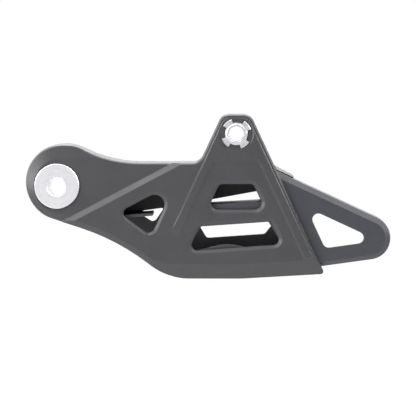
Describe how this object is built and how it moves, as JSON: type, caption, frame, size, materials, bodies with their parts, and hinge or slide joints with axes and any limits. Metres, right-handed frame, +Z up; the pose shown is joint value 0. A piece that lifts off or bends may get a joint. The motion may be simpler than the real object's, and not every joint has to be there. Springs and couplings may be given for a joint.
{
  "type": "motorcycle chain guide",
  "caption": "Rear chain guide: a moulded carrier with a front eye, a triangular plate and windows, holding a wear block whose tail runs back round the chain.",
  "frame": {"origin": "centre of the front bush's bore, on the middle plane of the carrier", "axes": "+X to the rear of the motorcycle, +Z up, +Y across it, away from the pictured side"},
  "size_m": [0.1958, 0.0407, 0.0882],
  "materials": {
    "moulding": "fine grained black nylon",
    "wear_nylon": "smooth black wear nylon",
    "turned_aluminium": "turned, satin",
    "zinc_steel": "zinc plated",
    "screw_steel": "zinc plated",
    "insert_brass": "machined"
  },
  "bodies": {
    "root": {"bracket_near": "moulding", "bracket_middle": "moulding", "bracket_floor": "moulding", "bracket_far": "moulding", "chain_slider": "wear_nylon", "front_bush": "turned_aluminium", "top_sleeve": "zinc_steel", "slider_screw_front": "screw_steel", "slider_screw_rear": "screw_steel", "insert_front": "insert_brass", "insert_rear": "insert_brass"}
  },
  "joints": []
}
